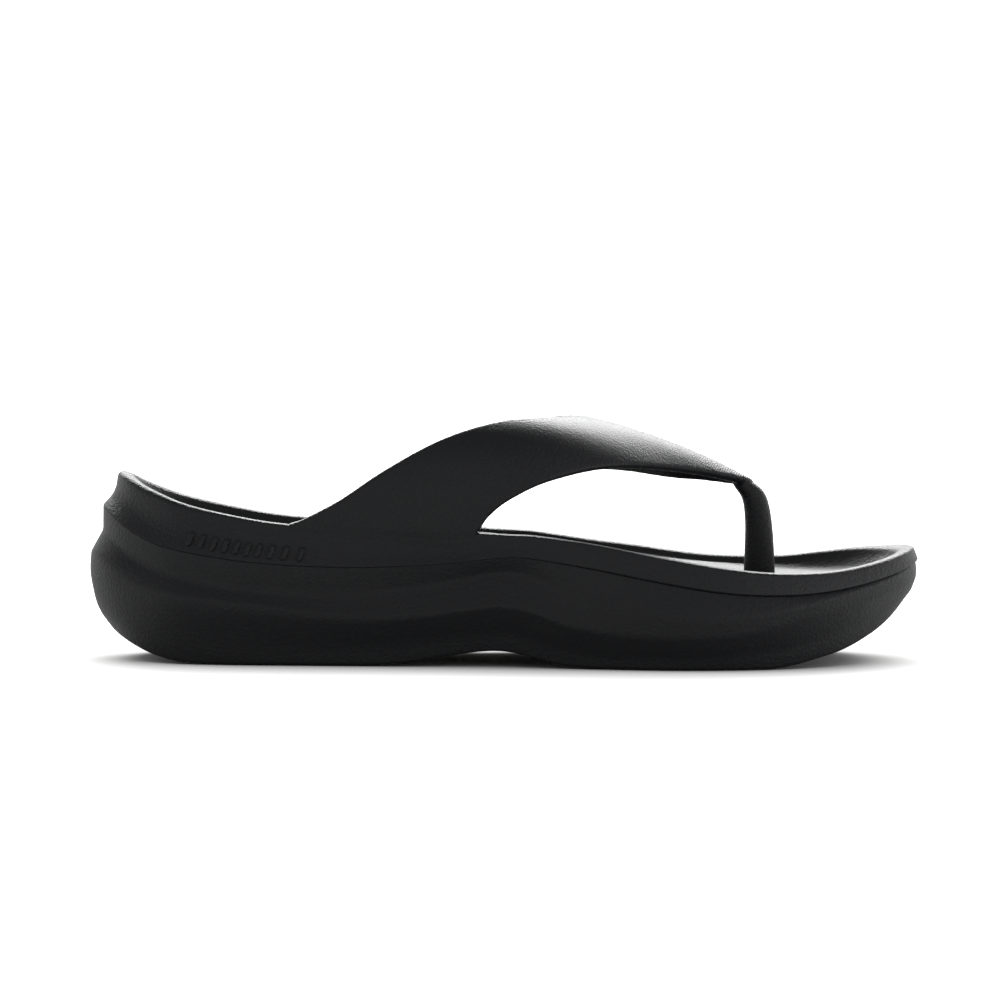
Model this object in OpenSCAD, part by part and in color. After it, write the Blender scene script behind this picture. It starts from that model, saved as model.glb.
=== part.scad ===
// Moulded foam flip flop, right foot.
// +X points to the toe, +Y to the big toe side and +Z up. The origin is on the ground, under the
// middle of the sole. The walls are skins over rings of points that run once round the foot.

/* [Sole] */
// Length over everything, from heel to toe
sole_l = 288; // [260:2:310]
// Width over the ball of the foot
sole_w = 104; // [94:1:112]
// Height of the top of the strap above the ground
strap_h = 85; // [76:1:92]
// How far the footbed's lip stands out over the lower sole at the toe
lip_overhang = 1.1; // [0.4:0.1:1.8]

/* [Footbed] */
// Thickness of the rim around the footbed
rim_t = 5.5; // [4:0.5:7]
// Thickness of the footbed's floor
floor_t = 8; // [6:0.5:10]
// Thickness of the inlaid comfort panel
inlay_t = 1.8; // [1.2:0.2:2.4]
// Gap all round the inlaid panel
inlay_gap = 0.5; // [0.3:0.1:1]

/* [Strap] */
// Thickness of the strap in the middle of its band
band_t = 4.6; // [3.5:0.1:6]
// Length of the toe post, along the foot
post_l = 10.8; // [8:0.2:12]
// Width of the toe post, between the toes
post_w = 8.4; // [6:0.2:9]

/* [Tread] */
// Thickness of each rubber tread pad
tread_t = 2.6; // [2:0.2:3.4]
// Width of each cut across the tread
sipe_w = 1.8; // [1:0.2:2.6]
// Distance from one cut to the next, along the foot
sipe_pitch = 9; // [7:0.5:14]

/* [Hidden] */

// The tables below are drawn for a 288 x 104 x 85 mm sandal, and grow with it.
grow = [sole_l / 288, sole_w / 104, strap_h / 85];
foam = "#1d1f21";
rubber = "#141516";
sole_base = 0.4;       // height of the foam underside, so that the rubber pads meet the ground
pad_depth = tread_t - sole_base;
steps = 6;             // points made for each span of the outline

// Widest outline, seen from above: heel back, outer side, toe tip, inner side.
outline_points = [
    [-144, -2], [-137, -21], [-120, -34], [-98, -38.5], [-76, -39.4], [-43, -40.6], [-10, -42.8],
    [25, -47.8], [55, -51.9], [82, -50.3], [106, -41.5], [126, -26.5], [139.6, -8],
    [144, 11], [139, 29.5], [124, 43.5], [102, 50.8], [77, 51.6], [50, 47], [22, 41], [-12, 36.4],
    [-37, 35], [-62, 34.5], [-97, 34], [-122, 29], [-138, 16.5]];
count = len(outline_points) * steps;
half = count / 2;

// Rows are [x, value]: heights of the lines that run along the wall, from heel to toe.
underside = [[-144, 18], [-139, 12.5], [-134, 8.8], [-128, 5.5], [-122, 3], [-112, 0.8], [-102, 0.4],
    [-55, 0.4], [-42, 0.7], [-30, 1.9], [-18, 4], [-6, 5.6], [2, 5.4], [10, 3.6], [20, 1.2], [30, 0.4],
    [92, 0.4], [100, 1.3], [108, 3.2], [118, 6], [128, 11], [134, 15.5], [139, 21], [144, 28]];
low_valley = [[-144, 17], [-130, 13.8], [-120, 12], [-100, 9], [-80, 7.2], [-60, 6.6], [-40, 7.6],
    [-20, 10], [-2, 11.8], [6, 10.8], [15, 7.8], [30, 5], [50, 4.3], [80, 5.2], [100, 7.4],
    [110, 9.6], [120, 13], [130, 17.2], [138, 21], [144, 24]];
belly_crest = [[-144, 29.5], [-130, 26], [-110, 23], [-90, 20.8], [-70, 18.4], [-50, 16.9], [-30, 17.9],
    [-10, 20.6], [0, 21.5], [10, 19.8], [20, 16], [35, 12.8], [55, 11.4], [75, 11.7], [90, 14],
    [105, 17.8], [120, 21.4], [130, 24.2], [144, 28.6]];
high_valley = [[-144, 44.5], [-139, 41], [-130, 35.8], [-120, 31.8], [-100, 27.6], [-80, 25.6],
    [-60, 24.9], [-40, 26.4], [-20, 29.6], [-4, 32.9], [4, 32.9], [12, 30.6], [22, 26.4], [40, 21.8],
    [60, 19.2], [80, 18.8], [100, 21.6], [120, 26], [138, 30.4], [144, 32]];
lip_line = [[-144, 53], [-139, 50], [-130, 45], [-120, 41.3], [-100, 37.6], [-80, 35.5], [-60, 34.7],
    [-45, 34.8], [-20, 36.2], [-4, 38.2], [4, 38.7], [12, 38], [30, 35.1], [50, 31.4], [70, 28],
    [85, 26.4], [100, 26], [110, 26.5], [120, 27.8], [130, 29.8], [138, 32], [144, 34.4]];
rim_line = [[-144, 65.5], [-139, 64], [-130, 60.8], [-110, 55], [-90, 51], [-76, 49.1], [-60, 48.4],
    [-20, 47.2], [0, 46.3], [10, 46], [30, 43.5], [60, 38.2], [80, 35.1], [95, 33.6], [110, 33.3],
    [120, 34], [130, 35.6], [138, 37.5], [144, 39.4]];
rim_inner_side = [[-144, 0], [-120, -0.6], [-76, -1.6], [-60, -2], [0, -3.6], [28, -4.6], [48, -4],
    [67, -3.5], [82, -2.2], [100, -0.3], [110, 1], [120, 1.8], [130, 1.6], [144, 0]];

// Rows are [x, value]: how far those lines lie inside the widest outline.
edge_in = [[-144, 9], [-130, 8], [-110, 6], [-60, 5], [0, 6], [50, 5], [90, 6], [130, 6.4], [144, 5.6]];
low_valley_in = [[-144, 2.8], [-120, 3.6], [-60, 4], [0, 4.6], [60, 4], [100, 4.6], [130, 4], [144, 2.4]];
belly_in = [[-144, 0], [0, 0], [60, 0.5], [110, 1], [144, 0.7]];
high_valley_in = [[-144, 4.6], [-120, 3.6], [-60, 3], [-20, 3.6], [0, 4], [14, 3], [28, 1.4], [45, 0.3],
    [70, 0], [105, 0], [125, 0.4], [144, 0.6]];
lip_in = [[-144, 4.6], [-120, 2.6], [-60, 1.6], [0, 1.6], [30, 2.2], [60, 2.4], [100, 2], [144, 1.1]];
cheek_in = [[-144, 9], [-132, 7.4], [-110, 4.6], [-80, 3.2], [0, 2.6], [40, 1.9], [80, 1.5], [144, 0.7]];
rim_in = [[-144, 9.8], [-132, 8.4], [-110, 6], [-80, 4.4], [-20, 3.8], [20, 3], [60, 2.4], [144, 1.9]];
wall_foot_in = [[-144, 27], [-130, 22], [-110, 17], [-80, 14], [0, 13], [60, 11.5], [100, 11], [144, 11.5]];

// Rows are [x, value]: the footbed along its middle, how much it is dished, and its middle line.
foot_line = [[-144, 46], [-128, 39.5], [-105, 37], [-60, 37.5], [-20, 37.5], [20, 34.5], [60, 30],
    [90, 27.6], [110, 27.4], [125, 29], [138, 32], [144, 34]];
foot_dish = [[-144, 6], [-100, 6], [-40, 3.4], [20, 2.2], [80, 1.8], [144, 2]];
foot_half = [[-144, 22], [-120, 26], [-60, 29], [0, 31], [60, 40], [90, 40], [120, 28], [144, 22]];
middle_line = [[-144, -2], [-100, -3], [-50, -3.5], [0, -4], [50, -2.5], [80, 0.5], [110, 4.5], [144, 11]];
middle_ends = [-98, 98];
arch_lift = 4;

// Seats of the strap on the rim: each takes the same number of outline points, counted from its back.
seat_rows = 12;
outer_seat = 4 * steps;
inner_seat = 22 * steps;
// Rows are [share of the seat's length, depth]
seat_depth = [[0, 0], [0.2, 1.4], [0.6, 3.4], [0.88, 4], [0.96, 2.8], [1, 0]];

// The strap's outer face: columns over the foot, each [point on the rear edge, point on the front
// edge, bulge between them]. The rear edge is an arch for the instep, the front edge a V to the post.
outer_columns = [
    [[-70, -35.4, 50.8], [-8.6, -39.4, 47.8], [0, 0.2, -1.4]],
    [[-57, -35.8, 57.9], [-5, -39.6, 53], [0, 0, -0.6]],
    [[-41, -35.4, 68.9], [3.8, -39.4, 59.6], [0.5, -0.8, 0.4]],
    [[-22, -32.5, 79.2], [18, -36, 65.7], [0.5, -1.6, 1.4]],
    [[-3, -26, 84.8], [37.5, -26, 69.3], [0, -1.4, 2.4]],
    [[14, -14.5, 85.6], [59, -11, 67.8], [0, -0.6, 2.8]]];
middle_column = [[26, 3, 84.9], [87, 9.5, 61.8], [0, 0, 2.6]];
inner_columns = [
    [[17, 19, 83.6], [63, 21, 62.6], [0, 0.8, 2.8]],
    [[4, 27, 80], [43, 29.5, 64.2], [0, 1.4, 2.2]],
    [[-13, 30.4, 73.4], [22, 33.6, 63], [0.5, 1.6, 1.2]],
    [[-31, 31.6, 64], [4, 34.6, 57.4], [0.5, 1, 0.4]],
    [[-46, 31.2, 55], [-5, 34, 50.2], [0, 0.2, -0.2]],
    [[-56, 30.8, 49.2], [-9.6, 33, 46], [0, 0, -1]]];
band_steps = 4;        // points made for each span between two columns

// Toe post, from the band down to its washer. Each ring is [way back from the post's axis and
// height of its rear point, the same for its front point, shift in y, share of the width]; the ways
// back and forward are shares of the post's length.
post_rings = [
    [[-1.065, 64], [-0.51, 62.4], -1.4, 0.5], [[-0.86, 59.8], [-0.12, 60.4], -0.8, 0.78],
    [[-0.63, 56.2], [0.15, 57.2], -0.4, 0.92], [[-0.54, 52.4], [0.3, 52.4], -0.2, 0.97],
    [[-0.5, 46], [0.39, 46], 0, 1], [[-0.51, 38], [0.45, 38], 0, 1],
    [[-0.53, 30], [0.48, 30], 0, 1], [[-0.5, 19.4], [0.5, 19.4], 0, 1]];
post_at = [89, 10];
shank_r = 4;
barb_r = 6;
barb_t = 3;
washer_r = 11;
washer_t = 2;
washer_z = 17.4 * strap_h / 85;

tread_edge = 13;       // distance from the widest outline to the edge of the pads
tread_border = 3.4;    // solid rubber left round the cuts
flex_channel = 5;      // open channel between the outer and the inner pads
heel_pads = [-106, -46];
ball_pads = [30, 92];

function mix(a, b, t) = a + (b - a) * t;
function unit(v) = v / norm(v);
function flat(p) = [p.x, p.y];

// Smooth curve through the [x, value] rows, level beyond both ends.
function rise(rows, i) =
    let (a = max(i - 1, 0), b = min(i + 1, len(rows) - 1))
    (rows[b][1] - rows[a][1]) / (rows[b][0] - rows[a][0]);
function span(rows, i, x) =
    let (w = rows[i + 1][0] - rows[i][0], t = (x - rows[i][0]) / w)
    rows[i][1] * (1 + 2 * t) * (1 - t) * (1 - t) + rise(rows, i) * w * t * (1 - t) * (1 - t)
    + rows[i + 1][1] * t * t * (3 - 2 * t) - rise(rows, i + 1) * w * t * t * (1 - t);
function along(rows, x, i = 0) =
    x <= rows[0][0] ? rows[0][1]
    : x >= rows[len(rows) - 1][0] ? rows[len(rows) - 1][1]
    : x <= rows[i + 1][0] ? span(rows, i, x)
    : along(rows, x, i + 1);

// Smooth curve through four points, between the middle two.
function through(a, b, c, d, t) =
    0.5 * (2 * b + (c - a) * t + (2 * a - 5 * b + 4 * c - d) * t * t + (3 * b - a - 3 * c + d) * t * t * t);

outline = [for (i = [0 : count - 1])
    let (n = len(outline_points), k = floor(i / steps), t = i / steps - k)
    through(outline_points[(k + n - 1) % n], outline_points[k], outline_points[(k + 1) % n],
        outline_points[(k + 2) % n], t)];
inward = [for (i = [0 : count - 1])
    let (d = unit(outline[(i + 1) % count] - outline[(i + count - 1) % count])) [-d.y, d.x]];

function x_at(i) = outline[i].x;
function at(i, depth, z) = let (p = outline[i] + inward[i] * depth) [p.x, p.y, z];
function middle(i) =
    let (x = min(max(x_at(i), middle_ends[0]), middle_ends[1])) [x, along(middle_line, x)];

function seat_share(i) =
    i < half ? (x_at(i) - x_at(outer_seat)) / (x_at(outer_seat + seat_rows) - x_at(outer_seat))
    : (x_at(i) - x_at(inner_seat)) / (x_at(inner_seat - seat_rows) - x_at(inner_seat));
function seat_dip(i) =
    let (t = seat_share(i)) t > 0 && t < 1 ? along(seat_depth, t) : 0;
function rim_z(i) =
    along(rim_line, x_at(i)) + (i > half ? along(rim_inner_side, x_at(i)) : 0) - seat_dip(i);
function foot_z(p) =
    let (t = (p.y - along(middle_line, p.x)) / along(foot_half, p.x))
    along(foot_line, p.x) + along(foot_dish, p.x) * t * t
    + arch_lift * exp(-pow((p.x + 15) / 36, 2)) * pow(max(t, 0), 2);

// Points on the lines that the lower sole and the cup share.
function under_point(i, depth) = let (p = at(i, depth, 0)) [p.x, p.y, along(underside, p.x)];
function lip_point(i, depth = 0) = at(i, along(lip_in, x_at(i)) + depth, along(lip_line, x_at(i)));
function overhang(i) = lip_overhang * along([[-20, 0.1], [30, 0.7], [60, 1]], x_at(i));
function cheek_point(i) =
    at(i, along(cheek_in, x_at(i)), mix(along(lip_line, x_at(i)), rim_z(i), 0.4));
// Across its thickness the rim keeps the height that its outer edge has at the same x.
function rim_point(i, depth = 0, drop = 0) =
    let (p = at(i, along(rim_in, x_at(i)) + depth, rim_z(i) - drop), ahead = inward[i].x * depth)
    p + [0, 0, along(rim_line, x_at(i) + ahead) - along(rim_line, x_at(i))];
function low_point(i) = at(i, along(low_valley_in, x_at(i)), along(low_valley, x_at(i)));
function belly_point(i) = at(i, along(belly_in, x_at(i)), along(belly_crest, x_at(i)));
function high_point(i) = at(i, along(high_valley_in, x_at(i)), along(high_valley, x_at(i)));
// Between two of those lines, rounded outwards in proportion to the height between them.
function rounded(a, b, i, share, bulge) =
    mix(a, b, share) - [inward[i].x, inward[i].y, 0] * bulge * (b.z - a.z);
function wall_foot(i) =
    let (p = outline[i]) p + unit(middle(i) - p) * along(wall_foot_in, x_at(i));
function on_floor(p, below) = [p.x, p.y, foot_z(p) - below];
function inner_point(i, share, below) = on_floor(mix(wall_foot(i), middle(i), share), below);
function panel_share(i) = along([[-144, 0.28], [0, 0.32], [60, 0.34], [110, 0.4], [144, 0.26]], x_at(i));
function panel_point(i, shrink, below) =
    let (edge = mix(wall_foot(i), middle(i), panel_share(i)), d = middle(i) - edge)
    on_floor(edge + unit(d) * shrink, below);
function within_panel(i, share, below) =
    let (edge = mix(wall_foot(i), middle(i), panel_share(i)))
    on_floor(mix(edge, middle(i), share), below);

function ring(kind, value = 0, below = 0) = [for (i = [0 : count - 1])
    kind == "under" ? under_point(i, along(edge_in, x_at(i)) + value)
    : kind == "under_mid" ? let (p = mix(flat(under_point(i, along(edge_in, x_at(i)))), middle(i), value))
        [p.x, p.y, along(underside, p.x)]
    : kind == "edge" ? under_point(i, along(edge_in, x_at(i)) - 1.2) + [0, 0, 1.2]
    : kind == "low_valley" ? low_point(i)
    : kind == "below_belly" ? rounded(low_point(i), belly_point(i), i, value, below)
    : kind == "belly" ? belly_point(i)
    : kind == "above_belly" ? rounded(belly_point(i), high_point(i), i, value, below)
    : kind == "high_valley" ? high_point(i)
    : kind == "lip" ? lip_point(i, value)
    : kind == "lip_edge" ? lip_point(i, -overhang(i))
    : kind == "cheek" ? cheek_point(i)
    : kind == "rim" ? rim_point(i, value, below)
    : kind == "wall_foot" ? let (p = wall_foot(i)) [p.x, p.y, mix(foot_z(p), rim_z(i), value)]
    : kind == "ledge" ? let (p = flat(lip_point(i, 8))) [p.x, p.y, min(foot_z(p) - floor_t, lip_point(i).z - 1)]
    : kind == "floor" ? inner_point(i, value, below)
    : kind == "panel" ? panel_point(i, value, below)
    : within_panel(i, value, below)];

// Closed solid from rings of equal length; both end rings are narrow, and are zipped shut.
module skin(rings, inside_out = false) {
    n = len(rings[0]);
    points = [for (r = rings, p = r) [p.x * grow.x, p.y * grow.y, p.z * grow.z]];
    last = (len(rings) - 1) * n;
    walls = [for (k = [0 : len(rings) - 2], i = [0 : n - 1])
        let (a = k * n + i, b = k * n + (i + 1) % n) each [[a, b + n, b], [a, a + n, b + n]]];
    zip = [for (i = [0 : n / 2 - 1]) each [
        if (i + 1 != n - i - 1) [i, i + 1, n - i - 1],
        if (i != 0) [i, n - i - 1, n - i]]];
    first_cap = zip;
    last_cap = [for (f = zip) [f[0] + last, f[2] + last, f[1] + last]];
    faces = concat(walls, first_cap, last_cap);
    polyhedron(points, inside_out ? [for (f = faces) [f[0], f[2], f[1]]] : faces, convexity = 8);
}

under_rings = [ring("under_mid", 0.8), ring("under_mid", 0.45), ring("under"), ring("edge")];
wall_rings = [ring("low_valley"), ring("below_belly", 0.3, -0.03), ring("below_belly", 0.7, 0.04),
    ring("belly"), ring("above_belly", 0.3, 0.04), ring("above_belly", 0.75, -0.03), ring("high_valley"),
    ring("lip")];
joint_rings = [ring("lip", 6), ring("ledge"), ring("floor", 0.25, floor_t), ring("floor", 0.6, floor_t),
    ring("floor", 0.8, floor_t)];
cup_rings = [ring("within_panel", 0.7, inlay_t - 0.2), ring("within_panel", 0.4, inlay_t - 0.2),
    ring("panel", 0, inlay_t - 0.2), ring("panel", -0.01, 0), ring("floor", 0.02, 0),
    ring("wall_foot", 0.12), ring("rim", rim_t + 1.2, 2.4), ring("rim", rim_t), ring("rim"), ring("cheek"),
    ring("lip_edge")];

module post_hole(clearance) {
    translate([0, 0, washer_z - 4])
        linear_extrude(40)
            translate([post_at.x * grow.x, post_at.y * grow.y])
                resize([post_l + 2 * clearance, post_w + 2 * clearance])
                    circle(10, $fn = 28);
}

module washer_pocket() {
    translate([post_at.x * grow.x, post_at.y * grow.y, washer_z - barb_t - 0.5])
        cylinder(r = washer_r + 0.2, h = barb_t + washer_t + 20, $fn = 48);
}

module lower_sole() {
    color(foam)
        difference() {
            skin(concat(under_rings, wall_rings, joint_rings));
            for (x = [heel_pads, ball_pads], side = [-1, 1])
                translate([0, 0, -1]) linear_extrude(pad_depth + sole_base + 1) pad_outline(x, side, 0);
            washer_pocket();
        }
}

module footbed_cup() {
    color(foam)
        difference() {
            skin(concat(cup_rings, [ring("lip")], joint_rings), inside_out = true);
            post_hole(0.1);
        }
}

module footbed_inlay() {
    color(foam)
        difference() {
            skin([ring("within_panel", 0.7, inlay_t - 0.2), ring("within_panel", 0.4, inlay_t - 0.2),
                ring("panel", inlay_gap, inlay_t - 0.2), ring("panel", inlay_gap + 0.3, -0.2),
                ring("within_panel", 0.4, -0.2), ring("within_panel", 0.7, -0.2)]);
            post_hole(0.1);
        }
}

// Rows of points on the strap's outer face, from the outer seat over the foot to the inner seat.
function column(c, v) = mix(c[0], c[1], v) + c[2] * 4 * v * (1 - v);
function band_row(j) =
    let (v = j / seat_rows, a = outer_seat + j, b = inner_seat - j,
        c = concat([cheek_point(a), rim_point(a)], [for (k = outer_columns) column(k, v)],
            [column(middle_column, v)], [for (k = inner_columns) column(k, v)],
            [rim_point(b), cheek_point(b)]))
    concat([for (k = [1 : len(c) - 3], s = [0 : band_steps - 1])
        through(c[k - 1], c[k], c[k + 1], c[k + 2], s / band_steps)], [rim_point(b)]);
band = [for (j = [0 : seat_rows]) band_row(j)];
band_n = len(band[0]);
function band_normal(j, k) =
    let (across = band[j][min(k + 1, band_n - 1)] - band[j][max(k - 1, 0)],
        down = band[min(j + 1, seat_rows)][k] - band[max(j - 1, 0)][k])
    unit(cross(down, across));
// The band is thinnest along its edges, and as thick as the rim at its seats.
function band_depth(j) = band_t * (0.58 + 0.42 * sin(180 * j / seat_rows));
function lining_point(j, k) =
    let (near = min(k, band_n - 1 - k) / (1.5 * band_steps), w = near >= 1 ? 1 : near * near * (3 - 2 * near),
        i = k < band_n / 2 ? outer_seat + j : inner_seat - j,
        seat = rim_point(i, rim_t) - rim_point(i))
    band[j][k] + mix(seat, -band_normal(j, k) * band_depth(j), w);

module strap_band() {
    rows = seat_rows + 1;
    lining = [for (j = [0 : seat_rows]) [for (k = [0 : band_n - 1]) lining_point(j, k)]];
    points = [for (p = concat([for (r = band) each r], [for (r = lining) each r]))
        [p.x * grow.x, p.y * grow.y, p.z * grow.z]];
    low = rows * band_n;
    function quad(a, b, c, d) = [[a, b, c], [a, c, d]];
    faces = [
        for (j = [0 : rows - 2], k = [0 : band_n - 2]) let (a = j * band_n + k) each concat(
            quad(a, a + 1, a + band_n + 1, a + band_n),
            quad(low + a, low + a + band_n, low + a + band_n + 1, low + a + 1)),
        for (k = [0 : band_n - 2], j = [0, rows - 1]) let (a = j * band_n + k) each
            j == 0 ? quad(a, low + a, low + a + 1, a + 1) : quad(a, a + 1, low + a + 1, low + a),
        for (j = [0 : rows - 2], k = [0, band_n - 1]) let (a = j * band_n + k) each
            k == 0 ? quad(a, a + band_n, low + a + band_n, low + a)
            : quad(a, low + a, low + a + band_n, a + band_n)];
    polyhedron(points, faces, convexity = 8);
}

module toe_post() {
    sides = 28;
    rings = [for (r = post_rings) [for (s = [0 : sides - 1])
        let (t = 360 * s / sides, p = mix(r[0], r[1], (1 + cos(t)) / 2))
        [post_at.x * grow.x + p.x * post_l, post_at.y * grow.y + r[2] + sin(t) * post_w / 2 * r[3],
            p.y * grow.z]]];
    n = len(rings);
    points = [for (r = rings) each r];
    walls = [for (k = [0 : n - 2], s = [0 : sides - 1])
        let (a = k * sides + s, b = k * sides + (s + 1) % sides)
        each [[a, b, b + sides], [a, b + sides, a + sides]]];
    polyhedron(points, concat(walls, [[for (s = [sides - 1 : -1 : 0]) s]],
        [[for (s = [0 : sides - 1]) (n - 1) * sides + s]]), convexity = 4);
}

module strap() {
    color(foam)
        union() {
            strap_band();
            toe_post();
            translate([post_at.x * grow.x, post_at.y * grow.y, washer_z - barb_t]) {
                cylinder(r = shank_r, h = 24 * grow.z - washer_z + barb_t, $fn = 40);
                cylinder(r1 = shank_r, r2 = barb_r, h = barb_t, $fn = 40);
            }
        }
}

module post_washer() {
    color("#3a3c3e")
        translate([post_at.x * grow.x, post_at.y * grow.y, washer_z])
            difference() {
                cylinder(r = washer_r, h = washer_t, $fn = 64);
                translate([0, 0, -1]) cylinder(r = shank_r + 0.05, h = washer_t + 2, $fn = 40);
            }
}

// One pad, seen from below: the sole's outline drawn in, cut off at both ends and at the channel.
module pad_outline(span_x, side, shrink) {
    width = sole_w;
    intersection() {
        polygon([for (i = [0 : 2 : count - 1]) let (p = at(i, tread_edge + shrink, 0)) [p.x * grow.x, p.y * grow.y]]);
        translate([(span_x[0] + shrink) * grow.x, side > 0 ? flex_channel / 2 + shrink : -width])
            square([(span_x[1] - span_x[0] - 2 * shrink) * grow.x, width - flex_channel / 2 - shrink]);
    }
}

module tread_pad(span_x, side) {
    cuts = floor((span_x[1] - span_x[0] - 2 * tread_border) * grow.x / sipe_pitch);
    color(rubber)
        difference() {
            linear_extrude(tread_t) pad_outline(span_x, side, 0.05);
            translate([0, 0, -1])
                linear_extrude(tread_t)
                    intersection() {
                        pad_outline(span_x, side, tread_border);
                        for (c = [0 : cuts])
                            translate([span_x[0] * grow.x + tread_border + (c + 0.5) * sipe_pitch, 0])
                                polygon([for (e = [[-1, 1], [1, -1]], s = e[0] < 0 ? [0 : 4] : [4 : -1 : 0])
                                    [e[0] * sipe_w / 2 - (s % 2) * 4, side * s * 13]]);
                    }
        }
}

lower_sole();
footbed_cup();
footbed_inlay();
strap();
post_washer();
tread_pad(heel_pads, -1);  // heel_tread_outer
tread_pad(heel_pads, 1);  // heel_tread_inner
tread_pad(ball_pads, -1);  // ball_tread_outer
tread_pad(ball_pads, 1);  // ball_tread_inner
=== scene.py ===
"""A moulded foam flip flop for the right foot: ribbed sole unit, contoured footbed and one-piece strap.

The tables are in millimetres and become metres when a mesh is made. +X points to the toe, +Y to the
big toe side and +Z up, with the origin on the ground under the middle of the sole.
"""
import math

import bmesh
import bpy
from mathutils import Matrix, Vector


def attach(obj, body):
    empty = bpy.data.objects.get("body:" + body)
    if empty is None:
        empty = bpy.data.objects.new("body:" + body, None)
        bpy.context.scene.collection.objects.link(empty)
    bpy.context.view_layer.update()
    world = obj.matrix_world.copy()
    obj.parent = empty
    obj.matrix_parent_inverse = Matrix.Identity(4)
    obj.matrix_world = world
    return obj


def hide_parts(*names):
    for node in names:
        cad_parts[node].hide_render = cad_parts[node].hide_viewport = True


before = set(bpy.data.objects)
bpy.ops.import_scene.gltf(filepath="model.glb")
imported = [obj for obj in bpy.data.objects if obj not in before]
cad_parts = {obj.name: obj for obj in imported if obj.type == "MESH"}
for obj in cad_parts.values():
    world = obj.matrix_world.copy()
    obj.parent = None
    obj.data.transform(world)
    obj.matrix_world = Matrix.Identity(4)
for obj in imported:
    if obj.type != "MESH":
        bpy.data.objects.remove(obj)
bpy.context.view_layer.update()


# ---- Camera ---------------------------------------------------------------------------------------
# It stands square to the outer side, a little above the ground, and far off with a long lens, so
# that the outline is seen without perspective. It is tipped by a fraction of a degree, and the toe
# sits a touch lower.
camera_data = bpy.data.cameras.new("catalogue_camera")
camera = bpy.data.objects.new("catalogue_camera", camera_data)
bpy.context.scene.collection.objects.link(camera)
bpy.context.scene.camera = camera

camera_distance = 8.0
camera_view_width = 0.3465
camera_elevation = math.radians(4.5)
camera_roll = math.radians(0.3)
camera_aim = Vector((-0.0016, -0.02, 0.0568))
camera_direction = Vector((0, math.cos(camera_elevation), -math.sin(camera_elevation)))
camera_data.lens = camera_data.sensor_width * camera_distance / camera_view_width
camera_data.clip_end = 30
camera.location = camera_aim - camera_direction * camera_distance
camera.rotation_euler = camera_direction.to_track_quat("-Z", "Y").to_euler()
camera.rotation_euler.rotate_axis("Z", camera_roll)


# ---- Lower sole -----------------------------------------------------------------------------------
# A thick block of EVA foam, injection moulded and blown in one shot against a leather-grained steel
# mould. Its wall swells into a long rib that climbs over the arch, and it is hollowed on top to take
# the footbed unit, to which it is bonded.
MM = 0.001

# Widest outline, seen from above: heel back, outer side, toe tip, inner side.
outline_points = [Vector((x, y, 0)) for x, y in [
    (-144, -2), (-137, -21), (-120, -34), (-98, -38.5), (-76, -39.4), (-43, -40.6), (-10, -42.8),
    (25, -47.8), (55, -51.9), (82, -50.3), (106, -41.5), (126, -26.5), (139.6, -8),
    (144, 11), (139, 29.5), (124, 43.5), (102, 50.8), (77, 51.6), (50, 47), (22, 41), (-12, 36.4),
    (-37, 35), (-62, 34.5), (-97, 34), (-122, 29), (-138, 16.5)]]
toe_tip = 13                    # its place in that list
stations = [k / 16 for k in range(16 * len(outline_points))]

# Rows are (x, height): the lines that run along the wall, from heel to toe.
underside = [(-144, 18), (-139, 12.5), (-134, 8.8), (-128, 5.5), (-122, 3), (-112, 0.8), (-102, 0.4),
             (-55, 0.4), (-42, 0.7), (-30, 1.9), (-18, 4), (-6, 5.6), (2, 5.4), (10, 3.6), (20, 1.2),
             (30, 0.4), (92, 0.4), (100, 1.3), (108, 3.2), (118, 6), (128, 11), (134, 15.5), (139, 21),
             (144, 28)]
low_valley = [(-144, 17), (-130, 13.8), (-120, 12), (-100, 9), (-80, 7.2), (-60, 6.6), (-40, 7.6),
              (-20, 10), (-2, 11.8), (6, 10.8), (15, 7.8), (30, 5), (50, 4.3), (80, 5.2), (100, 7.4),
              (110, 9.6), (120, 13), (130, 17.2), (138, 21), (144, 24)]
belly_crest = [(-144, 29.5), (-130, 26), (-110, 23), (-90, 20.8), (-70, 18.4), (-50, 16.9), (-30, 17.9),
               (-10, 20.6), (0, 21.5), (10, 19.8), (20, 16), (35, 12.8), (55, 11.4), (75, 11.7),
               (90, 14), (105, 17.8), (120, 21.4), (130, 24.2), (144, 28.6)]
high_valley = [(-144, 44.5), (-139, 41), (-130, 35.8), (-120, 31.8), (-100, 27.6), (-80, 25.6),
               (-60, 24.9), (-40, 26.4), (-20, 29.6), (-4, 32.9), (4, 32.9), (12, 30.6), (22, 26.4),
               (40, 21.8), (60, 19.2), (80, 18.8), (100, 21.6), (120, 26), (138, 30.4), (144, 32)]
lip_line = [(-144, 53), (-139, 50), (-130, 45), (-120, 41.3), (-100, 37.6), (-80, 35.5), (-60, 34.7),
            (-45, 34.8), (-20, 36.2), (-4, 38.2), (4, 38.7), (12, 38), (30, 35.1), (50, 31.4), (70, 28),
            (85, 26.4), (100, 26), (110, 26.5), (120, 27.8), (130, 29.8), (138, 32), (144, 34.4)]

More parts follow.
